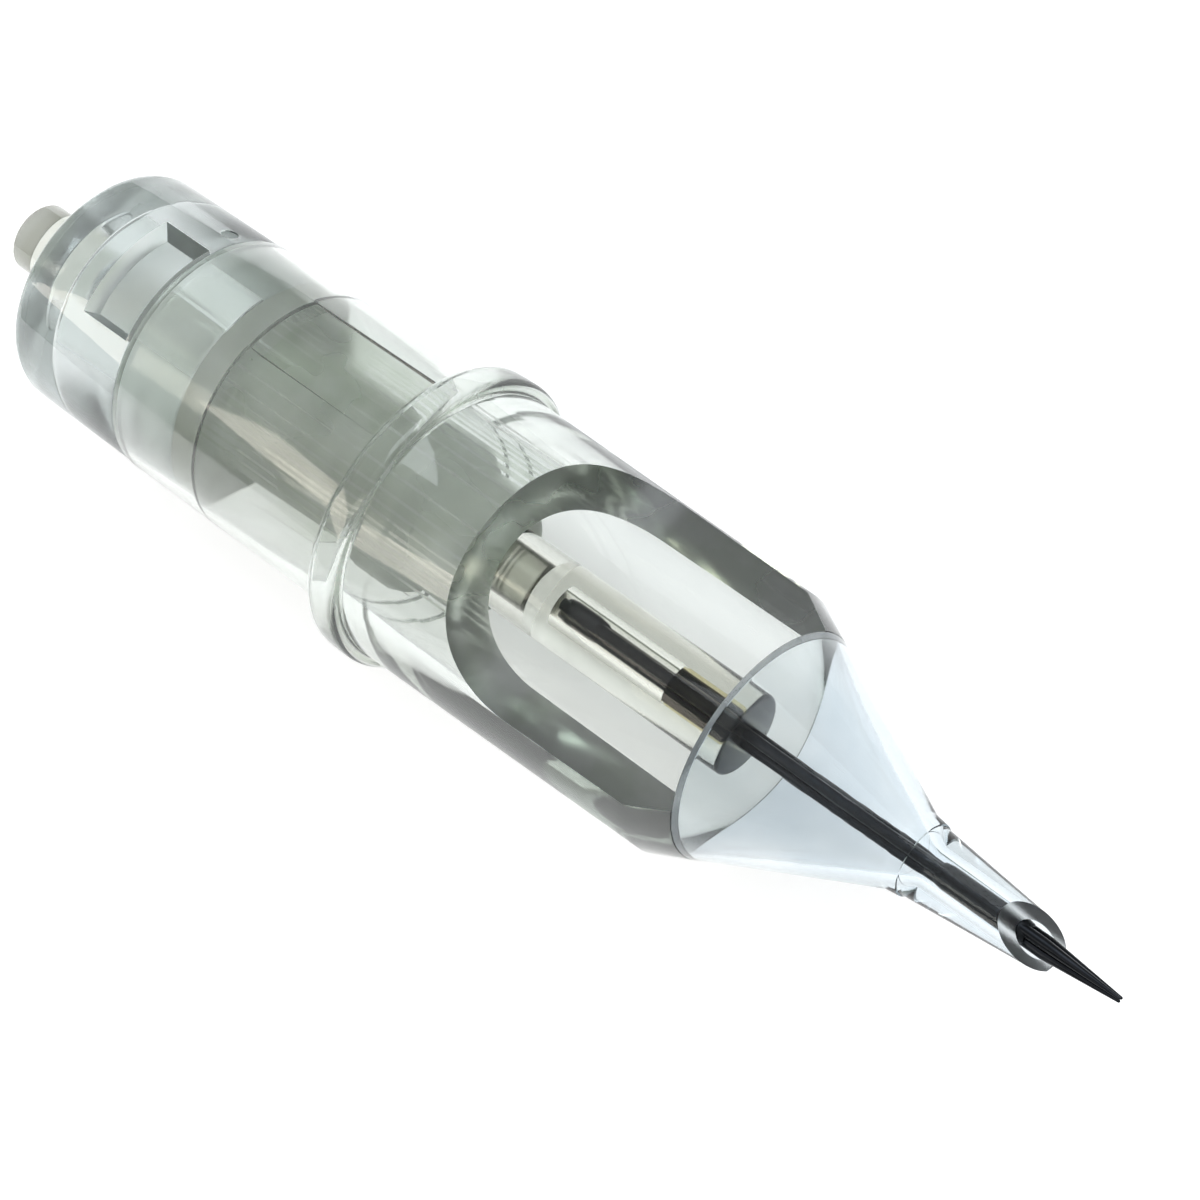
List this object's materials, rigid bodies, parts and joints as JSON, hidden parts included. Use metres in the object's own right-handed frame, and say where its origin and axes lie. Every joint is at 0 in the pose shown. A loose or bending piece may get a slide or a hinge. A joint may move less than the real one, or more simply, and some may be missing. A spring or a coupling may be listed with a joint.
{
  "type": "membrane needle cartridge",
  "caption": "Clear membrane needle cartridge with a windowed barrel, a nose cone, a scooped tip tube and a sprung needle plunger.",
  "frame": {"origin": "centre of the flange's rear face, on the cartridge's axis", "axes": "+X along the axis to the needle tip; the ink window opens towards +Z; the tip's scoop faces +Z"},
  "size_m": [0.0462, 0.0102, 0.0102],
  "materials": {
    "clear_housing": "clear, moulded",
    "clear_cone": "clear, moulded",
    "clear_cap": "clear, moulded",
    "silicone": "translucent, matt",
    "clear_stem": "clear, moulded",
    "clear_holder": "clear, moulded",
    "resin": "cured adhesive, faintly yellow",
    "solder": "dull tin",
    "needle_steel": "dark, polished"
  },
  "bodies": {
    "housing": {"barrel_housing": "clear_housing", "nose_cone": "clear_cone", "rear_cap": "clear_cap", "membrane": "silicone"},
    "plunger": {"plunger_stem": "clear_stem", "needle_holder": "clear_holder", "resin_plug": "resin", "rear_solder": "solder", "front_solder": "solder", "needle_1": "needle_steel", "needle_2": "needle_steel", "needle_3": "needle_steel"}
  },
  "joints": [
    {"name": "needle_slide", "type": "slide", "parent": "housing", "child": "plunger", "axis": [1, 0, 0], "range_m": [-0.003, 0.0015], "stiffness_N_per_m": 200, "deforming": ["membrane"]}
  ]
}
